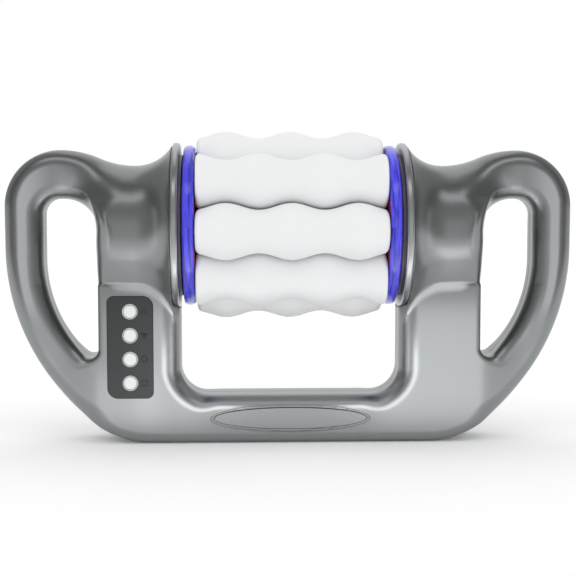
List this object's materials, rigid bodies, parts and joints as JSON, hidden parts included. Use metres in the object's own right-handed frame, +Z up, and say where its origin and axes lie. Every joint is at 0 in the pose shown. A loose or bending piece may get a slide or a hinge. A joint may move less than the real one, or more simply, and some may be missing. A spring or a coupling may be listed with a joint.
{
  "type": "electric roller massager",
  "caption": "Two-handed electric massager: a powered drum of wavy foam rollers between two D grips, with a push-button panel on one leg.",
  "frame": {"origin": "on the ground under the middle of the drum, at the middle of the flat foot", "axes": "+X along the drum axis towards the right grip, -Y is the front with the panel, +Z up"},
  "size_m": [0.368, 0.1212, 0.2014],
  "materials": {
    "housing_grey": "satin metallic graphite paint",
    "flange_grey": "satin metallic graphite paint",
    "collar_dark": "dark moulded plastic",
    "foam_white": "closed-cell foam with a smooth skin",
    "core_plastic": "white tube",
    "ring_blue": "translucent blue",
    "plate_maroon": "maroon",
    "panel_dark": "dark membrane plate",
    "button_white": "white",
    "bezel_grey": "light grey",
    "badge_grey": "satin metallic graphite paint",
    "board_green": "circuit board",
    "switch_black": "black",
    "steel": "plain",
    "bronze": "sintered bronze",
    "motor_steel": "plated can",
    "gearbox_alloy": "moulded gearbox",
    "cell_wrap": "shrink wrap",
    "tray_black": "black",
    "socket_black": "black",
    "hub_white": "moulded"
  },
  "bodies": {
    "frame": {"front_left_grip": "housing_grey", "front_left_side": "housing_grey", "front_bar": "housing_grey", "front_right_side": "housing_grey", "front_right_grip": "housing_grey", "rear_left_grip": "housing_grey", "rear_left_side": "housing_grey", "rear_bar": "housing_grey", "rear_right_side": "housing_grey", "rear_right_grip": "housing_grey", "housing_screws": "steel", "left_flange_ring": "flange_grey", "right_flange_ring": "flange_grey", "left_collar": "collar_dark", "right_collar": "collar_dark", "gearbox_case": "gearbox_alloy", "drive_motor": "motor_steel", "gearbox_screws": "steel", "idler_bush": "bronze", "control_panel": "panel_dark", "button_bezels": "bezel_grey", "badge_plate": "badge_grey", "control_board": "board_green", "tact_switches": "switch_black", "board_screws": "steel", "battery_cells": "cell_wrap", "battery_contacts": "steel", "battery_holder": "tray_black", "charge_socket": "socket_black"},
    "drum": {"core_tube": "plate_maroon", "roller_axles": "steel", "left_end_plate": "plate_maroon", "right_end_plate": "plate_maroon", "left_end_ring": "ring_blue", "right_end_ring": "ring_blue", "drive_hub": "hub_white", "idler_hub": "hub_white", "hub_screws": "steel", "drive_shaft": "steel", "idler_shaft": "steel"},
    "roller_body_1": {"roller_1": "foam_white", "roller_core_1": "core_plastic"},
    "roller_body_2": {"roller_2": "foam_white", "roller_core_2": "core_plastic"},
    "roller_body_3": {"roller_3": "foam_white", "roller_core_3": "core_plastic"},
    "roller_body_4": {"roller_4": "foam_white", "roller_core_4": "core_plastic"},
    "roller_body_5": {"roller_5": "foam_white", "roller_core_5": "core_plastic"},
    "roller_body_6": {"roller_6": "foam_white", "roller_core_6": "core_plastic"},
    "roller_body_7": {"roller_7": "foam_white", "roller_core_7": "core_plastic"},
    "roller_body_8": {"roller_8": "foam_white", "roller_core_8": "core_plastic"},
    "up_key": {"button_up": "button_white"},
    "down_key": {"button_down": "button_white"},
    "timer_key": {"button_timer": "button_white"},
    "power_key": {"button_power": "button_white"}
  },
  "joints": [
    {"name": "drum_spin", "type": "hinge", "parent": "frame", "child": "drum", "pos_m": [0, 0, 0.1408], "axis": [1, 0, 0], "continuous": true},
    {"name": "roller_1_spin", "type": "hinge", "parent": "drum", "child": "roller_body_1", "pos_m": [0, -0.04282, 0.13818], "axis": [1, 0, 0], "continuous": true},
    {"name": "roller_2_spin", "type": "hinge", "parent": "drum", "child": "roller_body_2", "pos_m": [0, -0.03213, 0.16923], "axis": [1, 0, 0], "continuous": true},
    {"name": "roller_3_spin", "type": "hinge", "parent": "drum", "child": "roller_body_3", "pos_m": [0, -0.00262, 0.18362], "axis": [1, 0, 0], "continuous": true},
    {"name": "roller_4_spin", "type": "hinge", "parent": "drum", "child": "roller_body_4", "pos_m": [0, 0.02843, 0.17293], "axis": [1, 0, 0], "continuous": true},
    {"name": "roller_5_spin", "type": "hinge", "parent": "drum", "child": "roller_body_5", "pos_m": [0, 0.04282, 0.14342], "axis": [1, 0, 0], "continuous": true},
    {"name": "roller_6_spin", "type": "hinge", "parent": "drum", "child": "roller_body_6", "pos_m": [0, 0.03213, 0.11237], "axis": [1, 0, 0], "continuous": true},
    {"name": "roller_7_spin", "type": "hinge", "parent": "drum", "child": "roller_body_7", "pos_m": [0, 0.00262, 0.09798], "axis": [1, 0, 0], "continuous": true},
    {"name": "roller_8_spin", "type": "hinge", "parent": "drum", "child": "roller_body_8", "pos_m": [0, -0.02843, 0.10867], "axis": [1, 0, 0], "continuous": true},
    {"name": "press_up", "type": "slide", "parent": "frame", "child": "up_key", "axis": [0, 1, 0], "range_m": [0, 0.0005], "stiffness_N_per_m": 600, "springref_m": -0.001},
    {"name": "press_down", "type": "slide", "parent": "frame", "child": "down_key", "axis": [0, 1, 0], "range_m": [0, 0.0005], "stiffness_N_per_m": 600, "springref_m": -0.001},
    {"name": "press_timer", "type": "slide", "parent": "frame", "child": "timer_key", "axis": [0, 1, 0], "range_m": [0, 0.0005], "stiffness_N_per_m": 600, "springref_m": -0.001},
    {"name": "press_power", "type": "slide", "parent": "frame", "child": "power_key", "axis": [0, 1, 0], "range_m": [0, 0.0005], "stiffness_N_per_m": 600, "springref_m": -0.001}
  ]
}
